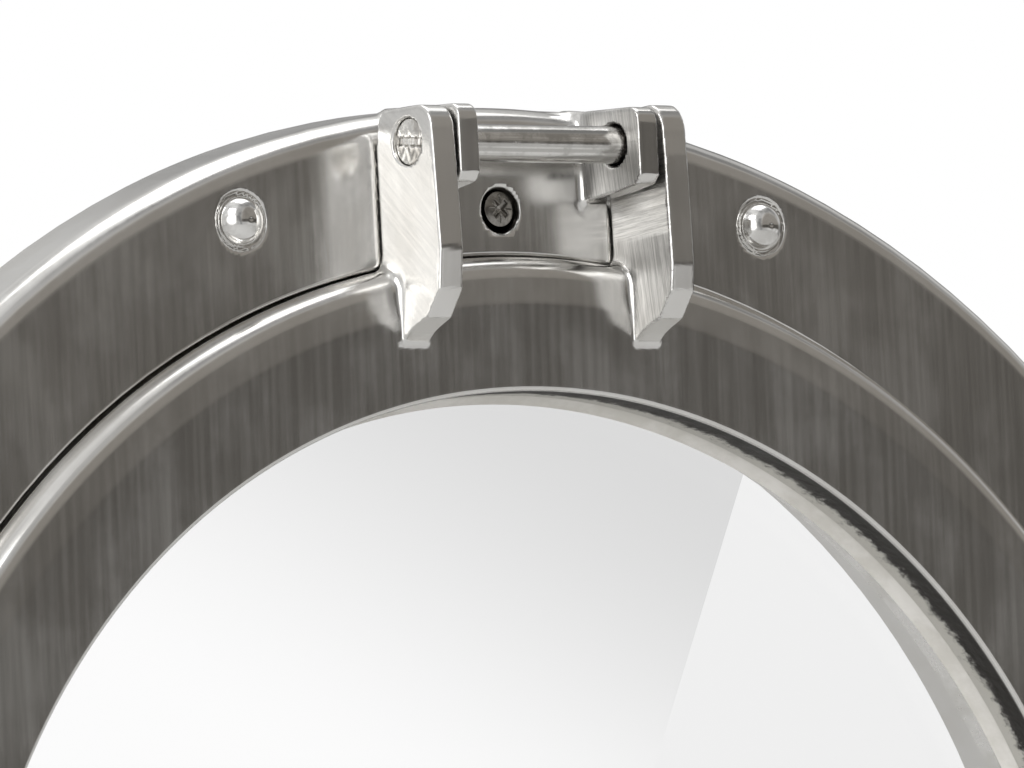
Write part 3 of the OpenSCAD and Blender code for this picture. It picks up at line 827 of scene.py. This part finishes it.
def rubber(name):
    s = Shader(bpy.data.materials.new(name))
    xyz = s.place()
    fine = s.grain(xyz, (1800, 1800, 1800))
    bloom = s.ease(s.grain(xyz, (70, 70, 70), detail=5.0), 0.45, 0.7)
    tone = s.blend((0.016, 0.016, 0.017, 1), (0.055, 0.053, 0.05, 1), bloom)
    return s.surface(Base_Color=tone, Roughness=s.ease(bloom, 0, 1, (0.55, 0.75)),
                     Normal=s.relief(s.times(fine, 4e-5)))


def sealant(name):
    """Pale glazing compound, smoothed by hand."""
    s = Shader(bpy.data.materials.new(name))
    xyz = s.place()
    wipe = s.grain(xyz, (60, 60, 60), detail=5.0, rough=0.65)
    fine = s.grain(xyz, (900, 900, 900), detail=3.0)
    tone = s.blend((0.76, 0.74, 0.69, 1), (0.90, 0.88, 0.84, 1), s.ease(wipe, 0.38, 0.62))
    return s.surface(Base_Color=tone, Roughness=s.ease(wipe, 0.3, 0.7, (0.35, 0.6)),
                     Normal=s.relief(s.plus(s.times(wipe, 4e-4), s.times(fine, 3e-5))))


def glass(name):
    """Clear pane with a painted reflection on its front face: a grey that deepens towards the hinge, and
    past a slanting line a lighter, even grey."""
    slope, foot = 0.448, 0.0054
    reflection_grey, reflection_light = (0.725, 0.725, 0.725, 1), (0.90, 0.90, 0.90, 1)
    face = -GLASS_H * MM
    s = Shader(bpy.data.materials.new(name))
    xyz = s.place()
    x, y, z = (s.add("SeparateXYZ", axis, Vector=xyz) for axis in range(3))
    past = s.ease(s.plus(s.times(z, -slope), x), foot, foot + 0.0002)
    reflection_fade = s.ease(s.plus(z, s.times(x, 0.5)), 0.04, 0.146)
    smear = s.grain(xyz, (9, 9, 30), detail=4.0)
    # Painted reflection: grey deepening towards the hinge, and lighter past the slanting line.
    painted_reflection = s.blend(s.blend(WHITE, reflection_grey, reflection_fade), reflection_light, past)
    tone = s.blend(WHITE, painted_reflection, s.ease(y, face + 2e-4, face + 1e-4))
    clear = s.add("BsdfTransparent", Color=tone)
    gloss = s.add("BsdfGlossy", Color=WHITE, Roughness=s.ease(smear, 0.4, 0.7, (0.0, 0.04)))
    mix = s.add("MixShader", i0=s.times(s.add("Fresnel", IOR=1.45), 0.35), i1=clear, i2=gloss)
    s.tree.links.new(mix, s.tree.nodes["Material Output"].inputs["Surface"])
    return s.owner


def dress(piece, material):
    piece.data.materials.clear()
    piece.data.materials.append(material)


DIM_ROOM, WINDOW, FAR_WALL = (0.578, -0.812, 0.075), (-0.80, -0.585, 0.12), (0.578, 0.815, 0.0)
DAYLIGHT, LAMPLIGHT = (1.0, 0.995, 0.985, 1), (1.0, 0.94, 0.86, 1)
FLOOR_R, FLOOR_Z, FLOOR_SIDES = 1.6, -0.26, 96


def light_surround():
    """White surround whose soft light has a window in front on the left, dusk beside the dim room in
    front on the right, and a wall behind on the right that gives less."""
    world = bpy.data.worlds.new("studio")
    bpy.context.scene.world = world
    s = Shader(world)
    way = s.add("TexCoord", 0)
    toward, window, behind = [s.add("VectorMath", 1, {"operation": "DOT_PRODUCT"}, i0=way, i1=part)
                              for part in (DIM_ROOM, WINDOW, FAR_WALL)]
    up = s.add("SeparateXYZ", 2, Vector=way)
    dim = s.times(s.ease(toward, 0.60, 0.76), s.ease(up, -0.13, -0.05))
    cloud = s.add("TexNoise", 0, Vector=way, Scale=2.3, Detail=2.0)
    light = s.plus(s.ease(cloud, 0.35, 0.65, (0.5, 0.8)),
                   s.times(s.ease(window, 0.90, 0.965, (0.0, 1.5)), s.ease(toward, 0.37, 0.29)),
                   s.times(s.ease(toward, 0.30, 0.38, (0.0, -0.28)), s.ease(toward, 0.72, 0.60)),
                   s.ease(behind, 0.75, 0.97, (0.0, -0.35)))
    room = s.plus(s.times(light, s.math("SUBTRACT", 1.0, dim)),
                  s.times(dim, s.ease(up, 0.10, 0.14, (0.088, 0.29))))
    shade = s.add("Background", Color=s.blend(DAYLIGHT, LAMPLIGHT, dim), Strength=room)
    white = s.add("Background", Color=WHITE, Strength=1.0)
    mix = s.add("MixShader", i0=s.add("LightPath", 0), i1=shade, i2=white)
    s.tree.links.new(mix, s.tree.nodes["World Output"].inputs["Surface"])


def make_studio():
    """Pale floor, surround and soft lights."""
    light_surround()
    floor = bpy.data.meshes.new("floor")
    clock = np.linspace(0, 2 * math.pi, FLOOR_SIDES + 1)[:-1]
    rim = [(FLOOR_R * math.cos(a), FLOOR_R * math.sin(a), FLOOR_Z) for a in clock]
    floor.from_pydata(rim, [], [range(FLOOR_SIDES)])
    floor = bpy.data.objects.new("floor", floor)
    bpy.context.scene.collection.objects.link(floor)
    s = Shader(bpy.data.materials.new("pale_floor"))
    cloud = s.grain(s.place(), (3, 3, 3), detail=4.0)
    dress(floor, s.surface(Base_Color=s.blend((0.76, 0.76, 0.755, 1), (0.82, 0.82, 0.815, 1), cloud),
                           Roughness=0.6))
    for name, where, size, power in (("key", (-1.3, -0.9, 1.5), 0.9, 9), ("top", (0.4, 0.3, 1.8), 1.2, 6)):
        lamp = bpy.data.objects.new(name, bpy.data.lights.new(name, "AREA"))
        bpy.context.scene.collection.objects.link(lamp)
        lamp.data.size, lamp.data.energy = size, power
        lamp.location = where
        lamp.rotation_euler = (Vector((0, 0, 0.05)) - lamp.location).to_track_quat("-Z", "Y").to_euler()
    bpy.context.scene.view_settings.view_transform = "Standard"


def make_camera():
    """Long lens from the front left, a little below the hinge and slightly tilted. The target is the
    point of the wall's face, in millimetres, that is in the middle of the frame."""
    az, el, roll = (math.radians(a) for a in (35.446, -4.331, -3.120))
    target, distance = Vector((11.326, 0, 137.357)), 1800.0
    pixels_per_mm, pixels_across, sensor = 5.205, 1024, 36
    ahead = Vector((math.sin(az) * math.cos(el), math.cos(az) * math.cos(el), -math.sin(el)))
    level = Vector((math.cos(az), -math.sin(az), 0))
    above = level.cross(ahead)
    right = math.cos(roll) * level + math.sin(roll) * above
    up = math.cos(roll) * above - math.sin(roll) * level
    camera = bpy.data.objects.new("camera", bpy.data.cameras.new("camera"))
    bpy.context.scene.collection.objects.link(camera)
    bpy.context.scene.camera = camera
    camera.matrix_world = (Matrix.Translation((target - ahead * distance) * MM)
                           @ Matrix((right, up, -ahead)).transposed().to_4x4())
    camera.data.sensor_width = sensor
    camera.data.lens = pixels_per_mm * distance * sensor / pixels_across
    camera.data.clip_start, camera.data.clip_end = 0.05, 50


# Build ----------------------------------------------------------------------------------------
door, ring = make_castings()
cast = casting("polished_casting")
for piece in (door, ring):
    dress(piece, cast)
domes, cross, pin, heads = make_domes(), make_cross_screw(), make_pin(), make_pin_screws()
dogs = make_dogs()
pane, seal = make_glass()
bright = metal("bright_steel", (0.86, 0.855, 0.84, 1), 0.08, (500, 500, 500), 3e-6, (0.7, 0.69, 0.67, 1))
dress(domes, bright)
dress(cross, metal("dark_steel", (0.38, 0.365, 0.34, 1), 0.17, (900, 900, 900), 8e-6,
                   (0.19, 0.18, 0.165, 1)))
dress(pin, metal("drawn_steel", (0.86, 0.85, 0.83, 1), 0.14, (14, 1100, 1100), 1.6e-5,
                 (0.55, 0.54, 0.52, 1), 0.15))
dress(heads, metal("worn_steel", (0.84, 0.83, 0.80, 1), 0.16, (900, 900, 900), 2.5e-5,
                   (0.55, 0.53, 0.5, 1)))
turned_metal = metal("turned_steel", (0.80, 0.79, 0.77, 1), 0.14, (120, 120, 900), 8e-6,
                     (0.6, 0.59, 0.56, 1))
for piece in dogs:
    dress(piece, turned_metal)
dress(pane, glass("clear_glass"))
black = rubber("black_rubber")
for name in ("hull_seal", "door_gasket"):
    dress(frame["nodes"][name], black)
dress(seal, sealant("glazing_sealant"))
dress(frame["nodes"]["glass_retainer"], metal("turned_ring", (0.88, 0.87, 0.85, 1), 0.2, (300, 300, 900),
                                              1.5e-6, (0.78, 0.77, 0.74, 1)))
dress(frame["nodes"]["retainer_screws"], turned_metal)
make_studio()
make_camera()
